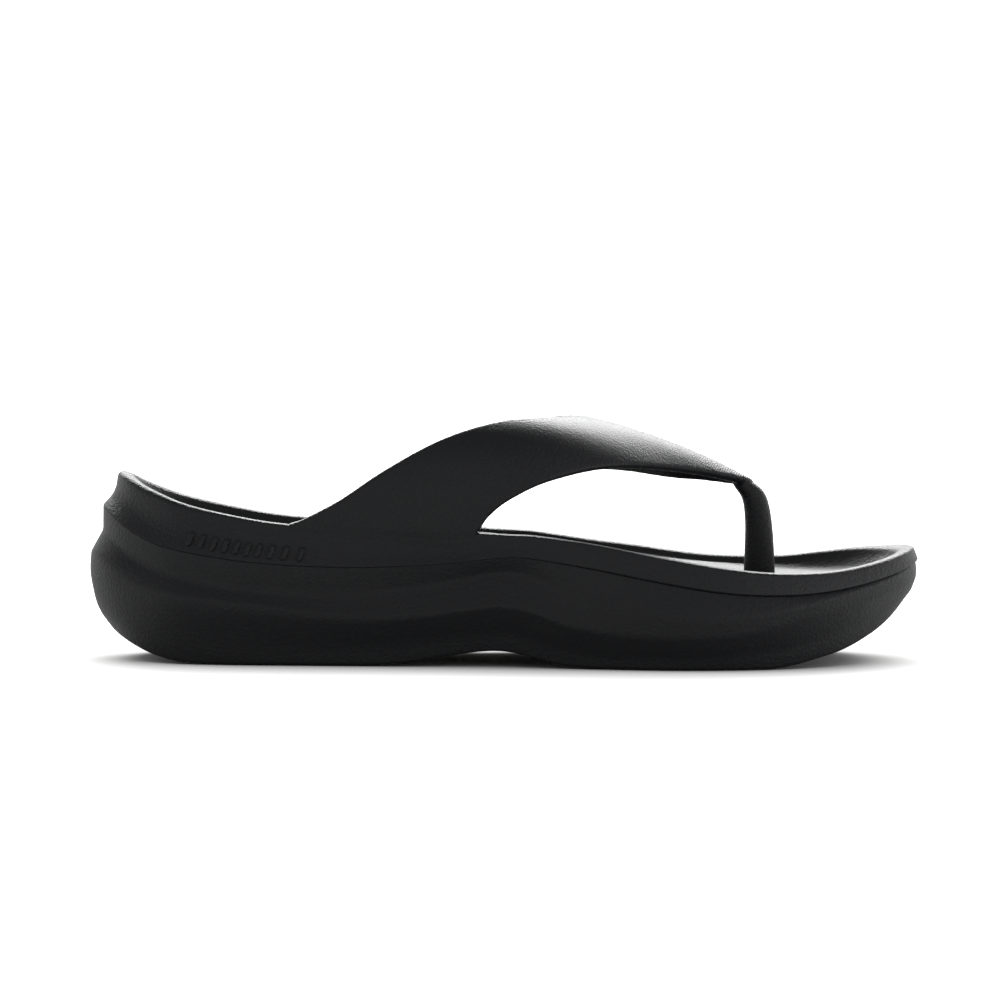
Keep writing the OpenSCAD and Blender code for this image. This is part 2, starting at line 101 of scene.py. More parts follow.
# Rows are (x, depth): how far those lines lie inside the widest outline.
edge_in = [(-144, 9), (-130, 8), (-110, 6), (-60, 5), (0, 6), (50, 5), (90, 6), (130, 6.4), (144, 5.6)]
low_valley_in = [(-144, 2.8), (-120, 3.6), (-60, 4), (0, 4.6), (60, 4), (100, 4.6), (130, 4), (144, 2.4)]
belly_in = [(-144, 0), (0, 0), (60, 0.5), (110, 1), (144, 0.7)]
high_valley_in = [(-144, 4.6), (-120, 3.6), (-60, 3), (-20, 3.6), (0, 4), (14, 3), (28, 1.4), (45, 0.3),
                  (70, 0), (105, 0), (125, 0.4), (144, 0.6)]
lip_in = [(-144, 4.6), (-120, 2.6), (-60, 1.6), (0, 1.6), (30, 2.2), (60, 2.4), (100, 2), (144, 1.1)]
# Round the heel a shoulder stands out over the belly's crest, and melts away along both sides.
shoulder_part = [(-144, 1), (-136, 0.75), (-124, 0.25), (-112, 0)]
# Rows are (x, run): how far each line's edge is rounded over.
low_valley_round = [(-144, 4.5), (-100, 4), (-40, 3), (0, 2), (60, 1.4), (120, 1.2), (144, 0.8)]
belly_round = [(-144, 4.5), (-100, 4.5), (-60, 3), (-30, 1.6), (0, 1), (30, 1.2), (90, 1.3), (144, 0.8)]
high_valley_round = [(-144, 1), (-124, 2), (-80, 2.6), (-30, 1.6), (0, 1.2), (30, 2.4), (144, 2)]

# The hollow on top: the footbed's heights along its middle line, and how much it is dished.
foot_line = [(-144, 46), (-128, 39.5), (-105, 37), (-60, 37.5), (-20, 37.5), (20, 34.5), (60, 30),
             (90, 27.6), (110, 27.4), (125, 29), (138, 32), (144, 34)]
foot_dish = [(-144, 6), (-100, 6), (-40, 3.4), (20, 2.2), (80, 1.8), (144, 2)]
foot_half = [(-144, 22), (-120, 26), (-60, 29), (0, 31), (60, 40), (90, 40), (120, 28), (144, 22)]
middle_line = [(-144, -2), (-100, -3), (-50, -3.5), (0, -4), (50, -2.5), (80, 0.5), (110, 4.5), (144, 11)]
middle_ends = (-98, 98)
wall_foot_in = [(-144, 27), (-130, 22), (-110, 17), (-80, 14), (0, 13), (60, 11.5), (100, 11), (144, 11.5)]
arch_lift = 4
floor_t = 8
edge_run = 1.2
lip_run = 0.7
shoulder_out = 1.8
seam_depth = 6                  # how far in from the lip the two layers' seam turns down
ledge_depth = 8


def along(rows, x):
    """Smooth curve through the (x, value) rows, level beyond both ends."""
    if x <= rows[0][0]:
        return rows[0][1]
    if x >= rows[-1][0]:
        return rows[-1][1]
    i = next(k for k in range(len(rows) - 1) if x <= rows[k + 1][0])

    def rise(k):
        a, b = rows[max(k - 1, 0)], rows[min(k + 1, len(rows) - 1)]
        return (b[1] - a[1]) / (b[0] - a[0])

    width = rows[i + 1][0] - rows[i][0]
    t = (x - rows[i][0]) / width
    return (rows[i][1] * (1 + 2 * t) * (1 - t) ** 2 + rise(i) * width * t * (1 - t) ** 2
            + rows[i + 1][1] * t * t * (3 - 2 * t) - rise(i + 1) * width * t * t * (1 - t))


def through(a, b, c, d, t):
    """Smooth curve through four points, between the middle two."""
    return (b * 2 + (c - a) * t + (a * 2 - b * 5 + c * 4 - d) * t ** 2
            + (b * 3 - a - c * 3 + d) * t ** 3) * 0.5


def outline_at(u):
    k, n = math.floor(u), len(outline_points)
    return through(*(outline_points[(k + j) % n] for j in (-1, 0, 1, 2)), u - k)


def inward_at(u):
    d = (outline_at(u + 1 / 6) - outline_at(u - 1 / 6)).normalized()
    return Vector((-d.y, d.x, 0))


def at(u, depth, z):
    """Point at a depth inside the outline. u counts along outline_points."""
    p = outline_at(u) + inward_at(u) * depth
    return Vector((p.x, p.y, z))


def middle(u):
    x = min(max(outline_at(u).x, middle_ends[0]), middle_ends[1])
    return Vector((x, along(middle_line, x), 0))


def on_underside(p):
    return Vector((p.x, p.y, along(underside, p.x)))


def on_floor(p, below):
    """The point of the footbed's surface over p, or a depth below it."""
    t = (p.y - along(middle_line, p.x)) / along(foot_half, p.x)
    arch = arch_lift * math.exp(-((p.x + 15) / 36) ** 2) * max(t, 0) ** 2
    return Vector((p.x, p.y, along(foot_line, p.x) + along(foot_dish, p.x) * t * t + arch - below))


def lip_point(u, depth=0.0):
    x = outline_at(u).x
    return at(u, along(lip_in, x) + depth, along(lip_line, x))


def foot_of_wall(u):
    """Where the rim's inner wall ends on the footbed, in plan."""
    p = outline_at(u)
    return p + (middle(u) - p).normalized() * along(wall_foot_in, p.x)


def bed(u):
    """The two layers meet here: points from the lip's inside to the middle of the hollow."""
    foot = foot_of_wall(u)
    ledge = lip_point(u, ledge_depth)
    ledge.z = min(on_floor(ledge, floor_t).z, lip_point(u).z - 1)
    shares = [on_floor(foot.lerp(middle(u), share), floor_t) for share in (0.25, 0.6, 0.8)]
    return [lip_point(u, seam_depth), ledge] + shares


def softened(corners, arc=6):
    """Polyline through (point, run) corners, each rounded over its run towards its neighbours."""
    line = [corners[0][0]]
    for (a, _), (b, run), (c, _) in zip(corners, corners[1:], corners[2:]):
        start = b + (a - b) * min(run / (a - b).length, 0.48)
        end = b + (c - b) * min(run / (c - b).length, 0.48)
        for k in range(arc + 1):
            t = k / arc
            line.append(start * (1 - t) ** 2 + b * (2 * t * (1 - t)) + end * t * t)
    return line + [corners[-1][0]]


def finished_mesh(name, verts, faces, smooth=True):
    """Welds the points, turns the faces outwards and links the piece into the scene."""
    mesh = bpy.data.meshes.new(name)
    mesh.from_pydata([v * MM for v in verts], [], faces)
    work = bmesh.new()
    work.from_mesh(mesh)
    bmesh.ops.remove_doubles(work, verts=work.verts, dist=1e-6)
    bmesh.ops.recalc_face_normals(work, faces=work.faces)
    work.to_mesh(mesh)
    work.free()
    mesh.polygons.foreach_set("use_smooth", [smooth] * len(mesh.polygons))
    piece = bpy.data.objects.new(name, mesh)
    bpy.context.scene.collection.objects.link(piece)
    return piece


def wrapped(name, sections):
    """Skin over sections that go once round the foot. The narrow rings at both ends are zipped shut."""
    n, m = len(sections), len(sections[0])
    faces = [(i * m + k, i * m + k + 1, (i + 1) % n * m + k + 1, (i + 1) % n * m + k)
             for i in range(n) for k in range(m - 1)]
    for k in (0, m - 1):
        for i in range(n // 2):
            ring = [i, i + 1, n - i - 1, (n - i) % n]
            faces.append([j * m + k for j in dict.fromkeys(ring)])
    return finished_mesh(name, [p for s in sections for p in s], faces)


def sole_section(u):
    x = outline_at(u).x
    edge = on_underside(at(u, along(edge_in, x) - 0.5, 0))
    low = at(u, along(low_valley_in, x), along(low_valley, x))
    belly = at(u, along(belly_in, x), along(belly_crest, x))
    high = at(u, along(high_valley_in, x), along(high_valley, x))
    stand = along(shoulder_part, x)
    shoulder = belly.lerp(high, 0.5) - inward_at(u) * (shoulder_out * stand)
    under = [(on_underside(edge.lerp(middle(u), share)), 0.1) for share in (0.8, 0.45)]
    wall = [(edge, edge_run), (low, along(low_valley_round, x)), (belly, along(belly_round, x)),
            (shoulder, 5 - 4 * stand), (high, along(high_valley_round, x)), (lip_point(u), lip_run)]
    return softened(under + wall + [(p, 0.1) for p in bed(u)])


def linear(hex_text):
    """An sRGB hex colour as the linear values that the shaders take."""
    parts = [int(hex_text[k:k + 2], 16) / 255 for k in (1, 3, 5)]
    return [v / 12.92 if v <= 0.04045 else ((v + 0.055) / 1.055) ** 2.4 for v in parts] + [1.0]


def add(tree, kind, settings=None, links=None):
    """Adds a node. A setting is one of its inputs, or else one of its properties."""
    node = tree.nodes.new(kind)
    for name, value in (settings or {}).items():
        if isinstance(name, str) and hasattr(node, name):
            setattr(node, name, value)
        else:
            node.inputs[name].default_value = value
    for name, source in (links or {}).items():
        tree.links.new(source, node.inputs[name])
    return node


def moulded_eva(name, body, scuffed, cell, depth, rough, hatch=0.0):
    """Closed-cell EVA foam from a grained mould. It is near-black right through, with a dry satin skin:
    the mould's leather grain, cells a fraction of a millimetre wide, breaks up every highlight."""
    material = bpy.data.materials.new(name)
    material.use_nodes = True
    tree = material.node_tree
    tree.nodes.clear()
    place = add(tree, "ShaderNodeTexCoord").outputs["Object"]
    # Slow drifts of tone from the blowing of the foam, tens of millimetres wide.
    cloud = add(tree, "ShaderNodeTexNoise", {"Scale": 1 / 0.032, "Detail": 3.0}, {"Vector": place})
    tone = add(tree, "ShaderNodeMix", {"data_type": "RGBA", 6: linear(body), 7: linear(scuffed)},
               {0: cloud.outputs["Fac"]})
    # Leather grain: cells of the given width in metres, with finer pores on top.
    warp = add(tree, "ShaderNodeTexNoise", {"Scale": 0.6 / cell, "Detail": 2.0}, {"Vector": place})
    warped = add(tree, "ShaderNodeMix", {"data_type": "VECTOR", 0: cell * 0.6},
                 {4: place, 5: warp.outputs["Color"]})
    cells = add(tree, "ShaderNodeTexVoronoi", {"feature": "F1", "Scale": 1 / cell},
                {"Vector": warped.outputs[1]})
    pores = add(tree, "ShaderNodeTexNoise", {"Scale": 2.4 / cell, "Detail": 2.0}, {"Vector": place})
    height = add(tree, "ShaderNodeMath", {"operation": "MULTIPLY_ADD", 1: 0.5},
                 {0: pores.outputs["Fac"], 2: cells.outputs["Distance"]}).outputs[0]
    if hatch:
        # Fine broken hatching on the strap, cut into its half of the mould. The lines are 0.8 mm apart.
        turned = add(tree, "ShaderNodeMapping", {"Rotation": (0, math.radians(-38), 0)}, {"Vector": place})
        lines = add(tree, "ShaderNodeTexWave", {"Scale": 2 * math.pi / (20 * 0.0008), "Distortion": 3.5,
                                                "Detail": 2.0, "Detail Scale": 0.6},
                    {"Vector": turned.outputs[0]})
        height = add(tree, "ShaderNodeMath", {"operation": "MULTIPLY_ADD", 1: hatch},
                     {0: lines.outputs["Fac"], 2: height}).outputs[0]
    bump = add(tree, "ShaderNodeBump", {"Strength": 1.0, "Distance": depth}, {"Height": height})
    sheen = add(tree, "ShaderNodeMapRange", {"To Min": rough - 0.05, "To Max": rough + 0.06},
                {"Value": pores.outputs["Fac"]})
    shader = add(tree, "ShaderNodeBsdfPrincipled", {"IOR": 1.45, "Specular IOR Level": 0.4},
                 {"Base Color": tone.outputs[2], "Roughness": sheen.outputs[0],
                  "Normal": bump.outputs[0]})
    add(tree, "ShaderNodeOutputMaterial", {}, {"Surface": shader.outputs[0]})
    return material


sole = wrapped("lower_sole_unit", [sole_section(u) for u in stations])
sole.data.materials.append(moulded_eva("eva_foam_sole_unit", "#15171a", "#1b1c1f", 0.0010, 0.00016, 0.5))
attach(sole, "root")
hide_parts("lower_sole")


# ---- Footbed unit ---------------------------------------------------------------------------------
# The upper layer of the same EVA foam, a shallow tray with a raised rim. It is moulded on its own and
# bonded into the lower sole's hollow. At the toe its lip stands out over the lower sole, and under
# each end of the strap the rim dips to make a seat.
rim_t = 5.5
inlay_t = 1.8
inlay_gap = 0.7
lip_overhang = 1.1
rim_line = [(-144, 65.5), (-139, 64), (-130, 60.8), (-110, 55), (-90, 51), (-76, 49.1), (-60, 48.4),
            (-20, 47.2), (0, 46.3), (10, 46), (30, 43.5), (60, 38.2), (80, 35.1), (95, 33.6), (110, 33.3),
            (120, 34), (130, 35.6), (138, 37.5), (144, 39.4)]
rim_inner_side = [(-144, 0), (-120, -0.6), (-76, -1.6), (-60, -2), (0, -3.6), (28, -4.6), (48, -4),
                  (67, -3.5), (82, -2.2), (100, -0.3), (110, 1), (120, 1.8), (130, 1.6), (144, 0)]
rim_in = [(-144, 9.8), (-132, 8.4), (-110, 6), (-80, 4.4), (-20, 3.8), (20, 3), (60, 2.4), (144, 1.9)]
cheek_in = [(-144, 9), (-132, 7.4), (-110, 4.6), (-80, 3.2), (0, 2.6), (40, 1.9), (80, 1.5), (144, 0.7)]
panel_share = [(-144, 0.28), (0, 0.32), (60, 0.34), (110, 0.4), (144, 0.26)]
rim_edge_round = [(-144, 3.2), (-120, 2.4), (-100, 1.4), (-70, 1), (60, 1), (144, 1.3)]
# The strap's seats: outline places of their back and front ends, and (share of length, depth) rows.
outer_seat = (4, 6)
inner_seat = (22, 20)
seat_depth = [(0, 0), (0.2, 1.4), (0.6, 3.4), (0.88, 4), (0.96, 2.8), (1, 0)]


def seat_dip(u):
    back, front = (outline_at(end).x for end in (outer_seat if u < toe_tip else inner_seat))
    share = (outline_at(u).x - back) / (front - back)
    return along(seat_depth, share) if 0 < share < 1 else 0.0


def rim_point(u, depth=0.0, drop=0.0):
    x = outline_at(u).x
    z = along(rim_line, x) + (along(rim_inner_side, x) if u > toe_tip else 0) - seat_dip(u)
    # Across its thickness the rim keeps the height that its outer edge has at the same x.
    level = along(rim_line, x + inward_at(u).x * depth) - along(rim_line, x)
    return at(u, along(rim_in, x) + depth, z + level - drop)


def cheek_point(u):
    return at(u, along(cheek_in, outline_at(u).x), lip_point(u).z * 0.6 + rim_point(u).z * 0.4)


def panel_point(u, shrink, below, share=0.0):
    """Edge of the inlaid panel, drawn in by a few millimetres or by a share of the way."""
    edge = foot_of_wall(u).lerp(middle(u), along(panel_share, outline_at(u).x))
    way = middle(u) - edge
    return on_floor(edge + way.normalized() * shrink + way * share, below)


def footbed_section(u):
    x = outline_at(u).x
    foot = foot_of_wall(u)
    wall_foot = on_floor(foot, 0)
    wall_foot.z += 0.12 * (rim_point(u).z - wall_foot.z)
    overhang = lip_overhang * along([(-20, 0.1), (30, 0.3), (60, 0.6), (120, 1)], x)
    rim_round = along(rim_edge_round, x) * (1 - 0.7 * min(seat_dip(u) / 1.5, 1))
    recess = inlay_t - 0.2
    corners = [
        (panel_point(u, 0, recess, 0.7), 0.1), (panel_point(u, 0, recess, 0.4), 0.1),
        (panel_point(u, 0, recess), 0.3), (panel_point(u, -0.3, 0), 0.8),
        (on_floor(foot.lerp(middle(u), 0.04), 0), 5), (wall_foot, 6), (rim_point(u, rim_t + 1.2, 2.4), 2.2),
        (rim_point(u, rim_t), rim_round * 1.3), (rim_point(u), rim_round), (cheek_point(u), 4),
        (lip_point(u, -overhang), 0.6), (lip_point(u, 0.3), 0.1)]
    return softened(corners + [(p, 0.1) for p in bed(u)])


footbed = wrapped("footbed_unit", [footbed_section(u) for u in stations])
footbed.data.materials.append(
    moulded_eva("eva_foam_footbed_unit", "#16181b", "#1c1d20", 0.0010, 0.00016, 0.47))
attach(footbed, "root")
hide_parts("footbed_cup")


# ---- Ribs on the rim's outer side -----------------------------------------------------------------
# A short row of slanted ribs, raised in the mould on the outer side of the heel. Geometry Nodes set
# one on each face of a strip of the wall, square to it.
rib_count = 10
rib_places = (2.4, 4.28)        # outline places where the row starts and ends


def new_tree(name, sizes):
    """A Geometry Nodes tree with a geometry input and output, and a named input for each size."""
    tree = bpy.data.node_groups.new(name, "GeometryNodeTree")
    tree.interface.new_socket("Geometry", in_out="INPUT", socket_type="NodeSocketGeometry")
    tree.interface.new_socket("Geometry", in_out="OUTPUT", socket_type="NodeSocketGeometry")
    for label, kind in sizes.items():
        tree.interface.new_socket(label, in_out="INPUT", socket_type="NodeSocket" + kind)
    return tree, tree.nodes.new("NodeGroupInput").outputs


def grown(piece, tree, values, material):
    """Runs the tree on the piece, with its inputs set by name, and keeps the result as a plain mesh."""
    modifier = piece.modifiers.new(tree.name, "NODES")
    modifier.node_group = tree
    for socket in tree.interface.items_tree:
        if socket.in_out == "INPUT" and socket.name in values:
            modifier[socket.identifier] = values[socket.name]
    view = piece.evaluated_get(bpy.context.evaluated_depsgraph_get())
    mesh = bpy.data.meshes.new_from_object(view)
    piece.modifiers.remove(modifier)
    piece.data = mesh
    mesh.materials.clear()
    mesh.materials.append(material)


def wall_point(u, share):
    """Point on the footbed unit's outer wall, a share of the way up from its lip to the rim."""
    lip, cheek, rim = lip_point(u), cheek_point(u), rim_point(u)
    return lip.lerp(cheek, share / 0.4) if share < 0.4 else cheek.lerp(rim, (share - 0.4) / 0.6)


rib_tree, size = new_tree("raised_ribs", {"Rib length": "Float", "Rib width": "Float", "Rib height": "Float",
                                          "Slant": "Float", "Finish": "Material"})
facing = add(rib_tree, "GeometryNodeInputNormal")
kept = add(rib_tree, "GeometryNodeCaptureAttribute", {"domain": "FACE"}, {"Geometry": size["Geometry"]})
kept.capture_items.new("VECTOR", "Facing")
rib_tree.links.new(facing.outputs[0], kept.inputs[1])
spots = add(rib_tree, "GeometryNodeMeshToPoints", {"mode": "FACES"}, {"Mesh": kept.outputs["Geometry"]})
square = add(rib_tree, "FunctionNodeAlignRotationToVector", {"axis": "Z"}, {"Vector": kept.outputs[1]})
levelled = add(rib_tree, "FunctionNodeAlignRotationToVector",
               {"axis": "X", "pivot_axis": "Z", "Vector": (1, 0, 0)}, {"Rotation": square.outputs[0]})
half_length = add(rib_tree, "ShaderNodeMath", {"operation": "MULTIPLY", 1: 0.5}, {0: size["Rib length"]})
other_half = add(rib_tree, "ShaderNodeMath", {"operation": "MULTIPLY", 1: -0.5}, {0: size["Rib length"]})
top_end = add(rib_tree, "ShaderNodeCombineXYZ", {}, {"Y": half_length.outputs[0]})
low_end = add(rib_tree, "ShaderNodeCombineXYZ", {}, {"Y": other_half.outputs[0]})
spine = add(rib_tree, "GeometryNodeCurvePrimitiveLine", {}, {"Start": low_end.outputs[0],
                                                             "End": top_end.outputs[0]})
fine_spine = add(rib_tree, "GeometryNodeResampleCurve", {"Count": 15}, {"Curve": spine.outputs[0]})
# The rib's width: full along its length, and rounded off at both ends.
progress = add(rib_tree, "GeometryNodeSplineParameter")
centred = add(rib_tree, "ShaderNodeMath", {"operation": "MULTIPLY_ADD", 1: 2.0, 2: -1.0},
              {0: progress.outputs["Factor"]})
steep = add(rib_tree, "ShaderNodeMath", {"operation": "POWER", 1: 6.0}, {0: centred.outputs[0]})
left = add(rib_tree, "ShaderNodeMath", {"operation": "SUBTRACT", 0: 1.0, "use_clamp": True},
           {1: steep.outputs[0]})
rounded_end = add(rib_tree, "ShaderNodeMath", {"operation": "SQRT"}, {0: left.outputs[0]})
rounded_width = add(rib_tree, "ShaderNodeMath", {"operation": "MAXIMUM", 1: 0.04},
                    {0: rounded_end.outputs[0]})
square_cut = add(rib_tree, "GeometryNodeCurvePrimitiveQuadrilateral", {"Width": 1.0, "Height": 1.0})
cut = add(rib_tree, "GeometryNodeFilletCurve", {"mode": "POLY", "Count": 3, "Radius": 0.28},
          {"Curve": square_cut.outputs[0]})
body = add(rib_tree, "GeometryNodeCurveToMesh", {"Fill Caps": True},
           {"Curve": fine_spine.outputs[0], "Profile Curve": cut.outputs[0],
            "Scale": rounded_width.outputs[0]})
girth = add(rib_tree, "ShaderNodeCombineXYZ", {"Y": 1.0}, {"X": size["Rib width"], "Z": size["Rib height"]})
lean = add(rib_tree, "ShaderNodeCombineXYZ", {}, {"Z": size["Slant"]})
shaped = add(rib_tree, "GeometryNodeTransform", {}, {"Geometry": body.outputs[0], "Scale": girth.outputs[0]})
slanted = add(rib_tree, "GeometryNodeTransform", {},
              {"Geometry": shaped.outputs[0], "Rotation": lean.outputs[0]})
row = add(rib_tree, "GeometryNodeInstanceOnPoints", {}, {"Points": spots.outputs[0],
                                                         "Instance": slanted.outputs[0],
                                                         "Rotation": levelled.outputs[0]})
real = add(rib_tree, "GeometryNodeRealizeInstances", {}, {"Geometry": row.outputs[0]})
smooth = add(rib_tree, "GeometryNodeSetShadeSmooth", {}, {"Geometry": real.outputs[0]})
dressed = add(rib_tree, "GeometryNodeSetMaterial", {}, {"Geometry": smooth.outputs[0],
                                                        "Material": size["Finish"]})
add(rib_tree, "NodeGroupOutput", {}, {"Geometry": dressed.outputs[0]})

rib_span = [rib_places[0] + (rib_places[1] - rib_places[0]) * k / rib_count for k in range(rib_count + 1)]
strip = [wall_point(u, share) for u in rib_span for share in (0.1, 0.48)]
strip_faces = [(2 * k, 2 * k + 2, 2 * k + 3, 2 * k + 1) for k in range(rib_count)]
ribs = finished_mesh("rim_ribs", strip, strip_faces)
if ribs.data.polygons[0].normal.y > 0:
    ribs.data.flip_normals()
grown(ribs, rib_tree, {"Rib length": 0.0056, "Rib width": 0.0019, "Rib height": 0.0022,
                       "Slant": math.radians(-20), "Finish": footbed.data.materials[0]},
      footbed.data.materials[0])
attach(ribs, "root")


# ---- Inlaid comfort panel -------------------------------------------------------------------------
# A softer foam panel, die cut to the foot's outline, with its edge rounded over and glued into a
# recess of the footbed. A narrow gap all round shows as a groove.
def inlay_section(u):
    sunk = inlay_t - 0.2
    return softened([
        (panel_point(u, 0, sunk, 0.7), 0.1), (panel_point(u, 0, sunk, 0.4), 0.1),
        (panel_point(u, inlay_gap, sunk), 0.2), (panel_point(u, inlay_gap + 0.2, -0.2), 1.0),
        (panel_point(u, 0, -0.2, 0.12), 3), (panel_point(u, 0, -0.2, 0.4), 0.1),
        (panel_point(u, 0, -0.2, 0.7), 0.1)])


inlay = wrapped("comfort_panel", [inlay_section(u) for u in stations])
inlay.data.materials.append(moulded_eva("eva_foam_comfort_panel", "#17191c", "#1e1f22", 0.0012, 0.00012, 0.5))
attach(inlay, "root")
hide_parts("footbed_inlay")


# ---- Strap and toe post ---------------------------------------------------------------------------
# One moulding of a denser EVA. The broad band rises from both seats on the rim, arches over the
# instep, and narrows to the toe post. The post goes down through the footbed, and a barb on its end
# holds it under a washer.
band_t = 4.6
# Columns over the foot, from the outer to the inner seat: rear edge, front edge, bulge between them.
band_columns = [[Vector(p) for p in c] for c in [
    [(-70, -35.4, 50.8), (-8.6, -39.4, 47.8), (0, 0.2, -1.4)],
    [(-57, -35.8, 57.9), (-5, -39.6, 53), (0, 0, -0.6)],
    [(-41, -35.4, 68.9), (3.8, -39.4, 59.6), (0.5, -0.8, 0.4)],
    [(-22, -32.5, 79.2), (18, -36, 65.7), (0.5, -1.6, 1.4)],
    [(-3, -26, 84.8), (37.5, -26, 69.3), (0, -1.4, 2.4)],
    [(14, -14.5, 85.6), (59, -11, 67.8), (0, -0.6, 2.8)],
    [(26, 3, 84.9), (87, 9.5, 61.8), (0, 0, 2.6)],
    [(17, 19, 83.6), (63, 21, 62.6), (0, 0.8, 2.8)],
    [(4, 27, 80), (43, 29.5, 64.2), (0, 1.4, 2.2)],
    [(-13, 30.4, 73.4), (22, 33.6, 63), (0.5, 1.6, 1.2)],
    [(-31, 31.6, 64), (4, 34.6, 57.4), (0.5, 1, 0.4)],
    [(-46, 31.2, 55), (-5, 34, 50.2), (0, 0.2, -0.2)],
    [(-56, 30.8, 49.2), (-9.6, 33, 46), (0, 0, -1)]]]
band_rows = 18
band_steps = 10
root_depth = 2.5
tail_tuck = 1.1
tail_share = 0.1
post_axis = Vector((89, 10, 0))
post_l = 10.8
post_w = 8.4
# Rings down the post: (shift back, height) of its rear point and of its front point as shares of the
# post's length, shift in y, share of the width.
post_rings = [
    [(-1.065, 64), (-0.51, 62.4), -1.4, 0.5], [(-0.86, 59.8), (-0.12, 60.4), -0.8, 0.78],
    [(-0.63, 56.2), (0.15, 57.2), -0.4, 0.92], [(-0.54, 52.4), (0.3, 52.4), -0.2, 0.97],
    [(-0.5, 46), (0.39, 46), 0, 1], [(-0.51, 38), (0.45, 38), 0, 1],
    [(-0.53, 30), (0.48, 30), 0, 1], [(-0.5, 19.4), (0.5, 19.4), 0, 1]]
# Radius and height down the shank and its barb.
shank = [(4, 24), (4, 17.4), (6, 17.4), (6, 16.6), (4, 14.4)]


def band_row(v):
    """One line over the foot, at a share v of the way from the band's rear edge to its front edge,
    and what leads from it to its lining at both seats. It starts and ends sunk into the rim."""
    ends = []
    # The band's tails are tucked under the rim's rounded edge, so that they run into it smoothly.
    tuck = tail_tuck * max(1 - v / tail_share, 0)
    for places in (outer_seat, inner_seat):
        u = places[0] + (places[1] - places[0]) * v
        top, wall = rim_point(u, 0, tuck), cheek_point(u)
        sunk = top + (wall - top).normalized() * root_depth + inward_at(u) * 0.5
        ends.append((wall, sunk, top, rim_point(u, rim_t, tuck) - top))
    (wall_a, sunk_a, top_a, seat_a), (wall_b, sunk_b, top_b, seat_b) = ends
    c = [wall_a, top_a] + [rear.lerp(front, v) + bulge * (4 * v * (1 - v))
                           for rear, front, bulge in band_columns] + [top_b, wall_b]
    line = [through(*c[k - 1:k + 3], s / band_steps) for k in range(1, len(c) - 2) for s in range(band_steps)]
    return [sunk_a] + line + [top_b, sunk_b], seat_a, seat_b


def band_mesh():
    """The band as sections that go round it, with its long edges rounded over."""
    made = [band_row(j / band_rows) for j in range(band_rows + 1)]
    outer = [line for line, _, _ in made]
    n, last = len(outer[0]), band_rows
    sections = []
    for k in range(n):
        face, lining = [], []
        near = min(max(min(k, n - 1 - k) - 1, 0) / (1.5 * band_steps), 1)
        blend = near * near * (3 - 2 * near)
        for j, (line, seat_a, seat_b) in enumerate(made):
            across = line[min(k + 1, n - 2)] - line[max(k - 1, 1)]
            down = outer[min(j + 1, last)][k] - outer[max(j - 1, 0)][k]
            depth = band_t * (0.66 + 0.34 * math.sin(math.pi * j / last))
            seat = seat_a if k < n / 2 else seat_b
            face.append(line[k])
            lining.append(line[k] + seat.lerp(across.cross(down).normalized() * depth, blend))
        run = 0.7 + 0.9 * blend
        loop = [(p, 0.05) for p in face[1:-1]] + [(face[-1], run), (lining[-1], run)]
        loop += [(p, 0.05) for p in reversed(lining[1:-1])] + [(lining[0], run), (face[0], run)]
        closed = [loop[-1]] + loop + [loop[0]]
        sections.append(softened(closed, 4)[1:-1])
    m = len(sections[0])
    faces = [(a * m + b, (a + 1) * m + b, (a + 1) * m + (b + 1) % m, a * m + (b + 1) % m)
             for a in range(n - 1) for b in range(m)]
    faces += [list(range(m)), list(range((n - 1) * m, n * m))]
    return [p for section in sections for p in section], faces


def post_mesh(sides=40, fine=5):
    rings = []
    for k in range(len(post_rings) - 1):
        for s in range(fine):
            picks = [post_rings[min(max(k + j, 0), len(post_rings) - 1)] for j in (-1, 0, 1, 2)]
            rear, front = ([through(*(p[end][axis] for p in picks), s / fine) for axis in (0, 1)]
                           for end in (0, 1))
            shift, share = (through(*(p[item] for p in picks), s / fine) for item in (2, 3))
            rings.append((rear, front, shift, share))
    rings.append(post_rings[-1])
    verts = []
    for rear, front, shift, share in rings:
        for s in range(sides):
            turn = 2 * math.pi * s / sides
            t = (1 + math.cos(turn)) / 2
            back, height = (rear[i] + (front[i] - rear[i]) * t for i in (0, 1))
            verts.append(Vector((post_axis.x + back * post_l,
                                 post_axis.y + shift + math.sin(turn) * post_w / 2 * share, height)))
    return verts, tube_faces(len(rings), sides)


def tube_faces(rings, sides):
    faces = [(k * sides + s, k * sides + (s + 1) % sides, (k + 1) * sides + (s + 1) % sides,
              (k + 1) * sides + s) for k in range(rings - 1) for s in range(sides)]
    return faces + [list(range(sides)), list(range((rings - 1) * sides, rings * sides))]


def turned_mesh(profile, sides=40):
    verts = [Vector((post_axis.x + r * math.cos(2 * math.pi * s / sides),
                     post_axis.y + r * math.sin(2 * math.pi * s / sides), z))
             for r, z in profile for s in range(sides)]
    return verts, tube_faces(len(profile), sides)


def fused(piece, voxel, rounds):
    """Melts overlapping closed shells into one skin and relaxes it, which leaves fillets in the joins."""
    remesh = piece.modifiers.new("fuse", "REMESH")
    remesh.mode = "VOXEL"
    remesh.voxel_size = voxel
    relax = piece.modifiers.new("relax", "SMOOTH")
    relax.factor = 0.5
    relax.iterations = rounds
    view = piece.evaluated_get(bpy.context.evaluated_depsgraph_get())
    mesh = bpy.data.meshes.new_from_object(view)
    piece.modifiers.clear()
    piece.data = mesh
    mesh.polygons.foreach_set("use_smooth", [True] * len(mesh.polygons))


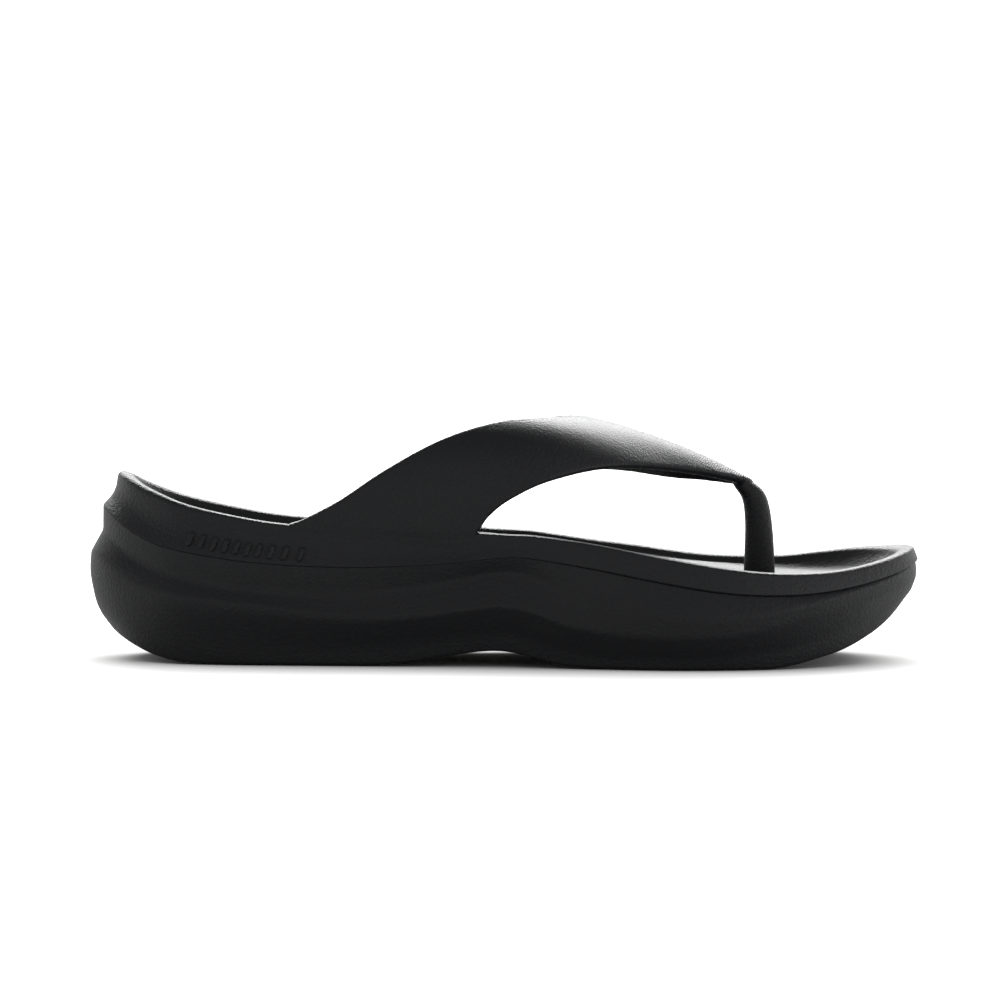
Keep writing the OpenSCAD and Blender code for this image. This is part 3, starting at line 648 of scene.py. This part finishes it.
strap_verts, strap_faces = [], []
for verts, faces in (band_mesh(), post_mesh(), turned_mesh(shank)):
    strap_faces += [[i + len(strap_verts) for i in face] for face in faces]
    strap_verts += verts
strap = finished_mesh("strap_with_post", strap_verts, strap_faces)
fused(strap, 0.0005, 8)
strap.data.materials.append(
    moulded_eva("eva_foam_strap", "#15171a", "#1b1c1f", 0.0009, 0.00012, 0.44, hatch=0.6))
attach(strap, "root")
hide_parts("strap")


# ---- Washer under the toe post --------------------------------------------------------------------
# A turned disc of acetal in the foam under the footbed, which keeps the post's barb from pulling out.
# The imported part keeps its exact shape, and only takes a finish here.
def smooth_plastic(name, body, worn, rough):
    """Acetal turned from rod: dark grey and slightly waxy, with fine rings from the lathe tool."""
    material = bpy.data.materials.new(name)
    material.use_nodes = True
    tree = material.node_tree
    tree.nodes.clear()
    place = add(tree, "ShaderNodeTexCoord").outputs["Object"]
    centre = add(tree, "ShaderNodeMapping", {"Location": -post_axis * MM}, {"Vector": place})
    rings = add(tree, "ShaderNodeTexWave", {"wave_type": "RINGS", "rings_direction": "Z",
                                            "Scale": 2 * math.pi / (20 * 0.0006), "Distortion": 0.2},
                {"Vector": centre.outputs[0]})
    cloud = add(tree, "ShaderNodeTexNoise", {"Scale": 1 / 0.006, "Detail": 3.0}, {"Vector": place})
    tone = add(tree, "ShaderNodeMix", {"data_type": "RGBA", 6: linear(body), 7: linear(worn)},
               {0: cloud.outputs["Fac"]})
    bump = add(tree, "ShaderNodeBump", {"Strength": 0.6, "Distance": 0.00004},
               {"Height": rings.outputs["Fac"]})
    shader = add(tree, "ShaderNodeBsdfPrincipled", {"IOR": 1.48, "Roughness": rough},
                 {"Base Color": tone.outputs[2], "Normal": bump.outputs[0]})
    add(tree, "ShaderNodeOutputMaterial", {}, {"Surface": shader.outputs[0]})
    return material


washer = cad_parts["post_washer"]
washer.data.materials.clear()
washer.data.materials.append(smooth_plastic("acetal_washer", "#38393b", "#434446", 0.4))


# ---- Rubber tread pads ----------------------------------------------------------------------------
# Four pads of vulcanised rubber, pressed into pockets of the foam and bonded. Geometry Nodes sweep a
# zigzag cutter, repeat it along each pad, keep it inside the pad's border and cut it out.
tread_t = 2.6
tread_edge = 13
tread_border = 3.4
flex_channel = 5
sipe_pitch = 9


def vulcanised_rubber(name, body, dusty):
    """Black outsole rubber from a bead-blasted mould: a dull, slightly uneven skin, greyer where dust
    clings to its high spots."""
    material = bpy.data.materials.new(name)
    material.use_nodes = True
    tree = material.node_tree
    tree.nodes.clear()
    place = add(tree, "ShaderNodeTexCoord").outputs["Object"]
    cloud = add(tree, "ShaderNodeTexNoise", {"Scale": 1 / 0.01, "Detail": 5.0, "Roughness": 0.6},
                {"Vector": place})
    tone = add(tree, "ShaderNodeMix", {"data_type": "RGBA", 6: linear(body), 7: linear(dusty)},
               {0: cloud.outputs["Fac"]})
    grit = add(tree, "ShaderNodeTexNoise", {"Scale": 1 / 0.0006, "Detail": 3.0}, {"Vector": place})
    bump = add(tree, "ShaderNodeBump", {"Strength": 0.8, "Distance": 0.00012},
               {"Height": grit.outputs["Fac"]})
    dull = add(tree, "ShaderNodeMapRange", {"To Min": 0.62, "To Max": 0.8}, {"Value": cloud.outputs["Fac"]})
    shader = add(tree, "ShaderNodeBsdfPrincipled", {"IOR": 1.52},
                 {"Base Color": tone.outputs[2], "Roughness": dull.outputs[0], "Normal": bump.outputs[0]})
    add(tree, "ShaderNodeOutputMaterial", {}, {"Surface": shader.outputs[0]})
    return material


def pad_outline(start, end, side, shrink):
    """The sole's outline drawn in, cut off square at both ends and at the channel down the middle."""
    edge = [at(u, tread_edge + shrink, 0) for u in stations[::4]]
    edge = sorted((p for p in edge if p.y * side > 0 and start - 12 < p.x < end + 12), key=lambda p: p.x)
    line = [(p.x, p.y) for p in edge]

    def y_at(x):
        for (x0, y0), (x1, y1) in zip(line, line[1:]):
            if x0 <= x <= x1:
                return y0 + (y1 - y0) * (x - x0) / (x1 - x0)

    inner = side * (flex_channel / 2 + shrink)
    xs = [start + shrink + (end - start - 2 * shrink) * k / 24 for k in range(25)]
    return [(xs[0], inner), (xs[-1], inner)] + [(x, y_at(x)) for x in reversed(xs)]


def slab(name, corners, low, high):
    n = len(corners)
    verts = [Vector((x, y, z)) for z in (low, high) for x, y in corners]
    sides = [(k, (k + 1) % n, n + (k + 1) % n, n + k) for k in range(n)]
    return finished_mesh(name, verts, sides + [list(range(n)), list(range(n, 2 * n))], smooth=False)


pad_tree, size = new_tree("zigzag_cuts", {"Core": "Object", "Cuts": "Int", "Start": "Vector",
                                          "Pitch": "Float", "Cut width": "Float", "Cut depth": "Float",
                                          "Finish": "Material"})
zigzag = add(pad_tree, "GeometryNodeMeshLine", {"Count": 13, "Offset": (0, 0.0065, 0),
                                                "Start Location": (0, -0.039, 0)})
place_in_line = add(pad_tree, "GeometryNodeInputIndex")
odd = add(pad_tree, "ShaderNodeMath", {"operation": "MODULO", 1: 2.0}, {0: place_in_line.outputs[0]})
swing = add(pad_tree, "ShaderNodeMath", {"operation": "MULTIPLY", 1: 0.003}, {0: odd.outputs[0]})
sideways = add(pad_tree, "ShaderNodeCombineXYZ", {}, {"X": swing.outputs[0]})
bent = add(pad_tree, "GeometryNodeSetPosition", {}, {"Geometry": zigzag.outputs[0],
                                                     "Offset": sideways.outputs[0]})
path = add(pad_tree, "GeometryNodeMeshToCurve", {}, {"Mesh": bent.outputs[0]})
tilt = add(pad_tree, "GeometryNodeSetCurveNormal", {"mode": "Z_UP"}, {"Curve": path.outputs[0]})
cut_box = add(pad_tree, "GeometryNodeCurvePrimitiveQuadrilateral", {},
              {"Width": size["Cut width"], "Height": size["Cut depth"]})
cutter = add(pad_tree, "GeometryNodeCurveToMesh", {"Fill Caps": True},
             {"Curve": tilt.outputs[0], "Profile Curve": cut_box.outputs[0]})
step = add(pad_tree, "ShaderNodeCombineXYZ", {}, {"X": size["Pitch"]})
spots = add(pad_tree, "GeometryNodeMeshLine", {}, {"Count": size["Cuts"], "Start Location": size["Start"],
                                                   "Offset": step.outputs[0]})
repeated = add(pad_tree, "GeometryNodeInstanceOnPoints", {}, {"Points": spots.outputs[0],
                                                              "Instance": cutter.outputs[0]})
cutters = add(pad_tree, "GeometryNodeRealizeInstances", {}, {"Geometry": repeated.outputs[0]})
core = add(pad_tree, "GeometryNodeObjectInfo", {"transform_space": "ORIGINAL"}, {"Object": size["Core"]})
kept_in = add(pad_tree, "GeometryNodeMeshBoolean", {"operation": "INTERSECT"})
pad_tree.links.new(cutters.outputs[0], kept_in.inputs[1])
pad_tree.links.new(core.outputs["Geometry"], kept_in.inputs[1])
carved = add(pad_tree, "GeometryNodeMeshBoolean", {"operation": "DIFFERENCE"},
             {0: size["Geometry"], 1: kept_in.outputs[0]})
real = add(pad_tree, "GeometryNodeRealizeInstances", {}, {"Geometry": carved.outputs[0]})
dressed = add(pad_tree, "GeometryNodeSetMaterial", {}, {"Geometry": real.outputs[0],
                                                        "Material": size["Finish"]})
add(pad_tree, "NodeGroupOutput", {}, {"Geometry": dressed.outputs[0]})

tread_rubber = vulcanised_rubber("vulcanised_outsole_rubber", "#121213", "#1d1d1d")
for node, start, end, side in (("heel_tread_outer", -106, -46, -1), ("heel_tread_inner", -106, -46, 1),
                               ("ball_tread_outer", 30, 92, -1), ("ball_tread_inner", 30, 92, 1)):
    pad = slab(node + "_pad", pad_outline(start, end, side, 0.05), 0, tread_t)
    core = slab(node + "_core", pad_outline(start, end, side, tread_border), -2, tread_t + 2)
    cuts = int((end - start - 2 * tread_border) // sipe_pitch)
    first = (start + end) / 2 - (cuts - 1) / 2 * sipe_pitch - 1.5
    grown(pad, pad_tree, {"Core": core, "Cuts": cuts, "Start": Vector((first, 0, 0)) * MM,
                          "Pitch": sipe_pitch * MM, "Cut width": 0.0018, "Cut depth": 0.0032,
                          "Finish": tread_rubber}, tread_rubber)
    bpy.data.objects.remove(core)
    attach(pad, "root")
    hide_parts(node)


# ---- Floor and light ------------------------------------------------------------------------------
# A white sweep in a studio. The wall behind and the two sides glow softly near the ground, a wide
# soft box hangs behind the sandal, and the side where the camera stands is dimmer, so black foam
# shows by the light along its edges. The world shows plain white to the camera itself.
def board_with_painted_glow(name):
    """Matt white emulsion on board. To the camera it also glows, a painted glow scaled by its share of open
    sky, so that the picture's ground is white;
    the occlusion dims that glow close under the sole, which paints a contact shadow there. The object isn't
    lit by this glow."""
    material = bpy.data.materials.new(name)
    material.use_nodes = True
    tree = material.node_tree
    tree.nodes.clear()
    place = add(tree, "ShaderNodeTexCoord").outputs["Object"]
    fibre = add(tree, "ShaderNodeTexNoise", {"Scale": 1 / 0.004, "Detail": 4.0}, {"Vector": place})
    tone = add(tree, "ShaderNodeMix", {"data_type": "RGBA", 6: linear("#cacac9"), 7: linear("#d0d0cf")},
               {0: fibre.outputs["Fac"]})
    board = add(tree, "ShaderNodeBsdfDiffuse", {}, {"Color": tone.outputs[2]})
    # Painted contact shadow: the glow that the camera sees is dimmed by ambient occlusion where the sole
    # stands close.
    open_sky = add(tree, "ShaderNodeAmbientOcclusion", {"samples": 8, "Distance": 0.05})
    steep = add(tree, "ShaderNodeMath", {"operation": "POWER", 1: 2.1}, {0: open_sky.outputs["AO"]})
    lift = add(tree, "ShaderNodeMath", {"operation": "MULTIPLY", 1: 1.05}, {0: steep.outputs[0]})
    glow = add(tree, "ShaderNodeEmission", {"Color": linear("#ffffff")}, {"Strength": lift.outputs[0]})
    seen = add(tree, "ShaderNodeLightPath")
    lifted = add(tree, "ShaderNodeAddShader", {}, {0: board.outputs[0], 1: glow.outputs[0]})
    mixed = add(tree, "ShaderNodeMixShader", {}, {0: seen.outputs["Is Camera Ray"], 1: board.outputs[0],
                                                  2: lifted.outputs[0]})
    add(tree, "ShaderNodeOutputMaterial", {}, {"Surface": mixed.outputs[0]})
    return material


reach = 30000
floor_gap = 0.05                # keeps the floor clear of the tread's flat faces
floor = finished_mesh("white_floor", [Vector((x, y, -floor_gap)) for x, y in
                                      ((-reach, -reach), (reach, -reach), (reach, reach), (-reach, reach))],
                      [(0, 1, 2, 3)], smooth=False)
if floor.data.polygons[0].normal.z < 0:
    floor.data.flip_normals()
floor.data.materials.append(board_with_painted_glow("white_board_painted_contact_shadow"))

room = bpy.data.worlds.new("studio_room")
bpy.context.scene.world = room
room.use_nodes = True
tree = room.node_tree
tree.nodes.clear()
ray = add(tree, "ShaderNodeTexCoord")
way = add(tree, "ShaderNodeSeparateXYZ", {}, {"Vector": ray.outputs["Generated"]})
behind = add(tree, "ShaderNodeMapRange", {"interpolation_type": "SMOOTHSTEP", "From Min": 0.0,
                                          "From Max": 0.5, "To Min": 0.0, "To Max": 1.5},
             {"Value": way.outputs["Y"]})
toe_side = add(tree, "ShaderNodeMapRange", {"interpolation_type": "SMOOTHSTEP", "From Min": 0.45,
                                            "From Max": 0.85, "To Min": 0.0, "To Max": 2.4},
               {"Value": way.outputs["X"]})
heel_side = add(tree, "ShaderNodeMapRange", {"interpolation_type": "SMOOTHSTEP", "From Min": -0.5,
                                             "From Max": -0.9, "To Min": 0.0, "To Max": 1.4},
                {"Value": way.outputs["X"]})
sides = add(tree, "ShaderNodeMath", {"operation": "MAXIMUM"},
            {0: toe_side.outputs[0], 1: heel_side.outputs[0]})
round_about = add(tree, "ShaderNodeMath", {"operation": "MAXIMUM"},
                  {0: behind.outputs[0], 1: sides.outputs[0]})
near_ground = add(tree, "ShaderNodeMapRange", {"interpolation_type": "SMOOTHSTEP", "From Min": 0.1,
                                               "From Max": 0.4, "To Min": 1.0, "To Max": 0.1},
                  {"Value": way.outputs["Z"]})
ring = add(tree, "ShaderNodeMath", {"operation": "MULTIPLY"},
           {0: round_about.outputs[0], 1: near_ground.outputs[0]})
# What the dark side of the room gives back, less from above than from the walls.
dim_side = add(tree, "ShaderNodeMapRange", {"From Min": 0.4, "From Max": 0.8, "To Min": 0.52,
                                            "To Max": 0.25}, {"Value": way.outputs["Z"]})
glow = add(tree, "ShaderNodeMath", {"operation": "MAXIMUM"}, {0: ring.outputs[0], 1: dim_side.outputs[0]})
seen = add(tree, "ShaderNodeLightPath")
strength = add(tree, "ShaderNodeMath", {"operation": "MAXIMUM"}, {0: glow.outputs[0],
                                                                  1: seen.outputs["Is Camera Ray"]})
sky = add(tree, "ShaderNodeBackground", {"Color": linear("#ffffff")}, {"Strength": strength.outputs[0]})
add(tree, "ShaderNodeOutputWorld", {}, {"Surface": sky.outputs[0]})
bpy.context.scene.view_settings.view_transform = "Standard"

soft_box_data = bpy.data.lights.new("soft_box", "AREA")
soft_box_data.shape = "RECTANGLE"
soft_box_data.size, soft_box_data.size_y = 3.0, 1.2
soft_box_data.energy = 145
soft_box = bpy.data.objects.new("soft_box", soft_box_data)
bpy.context.scene.collection.objects.link(soft_box)
soft_box.location = (0.1, 2.2, 1.6)
soft_box.rotation_euler = (Vector((0, 0, 0)) - soft_box.location).to_track_quat("-Z", "Y").to_euler()
soft_box.visible_camera = False
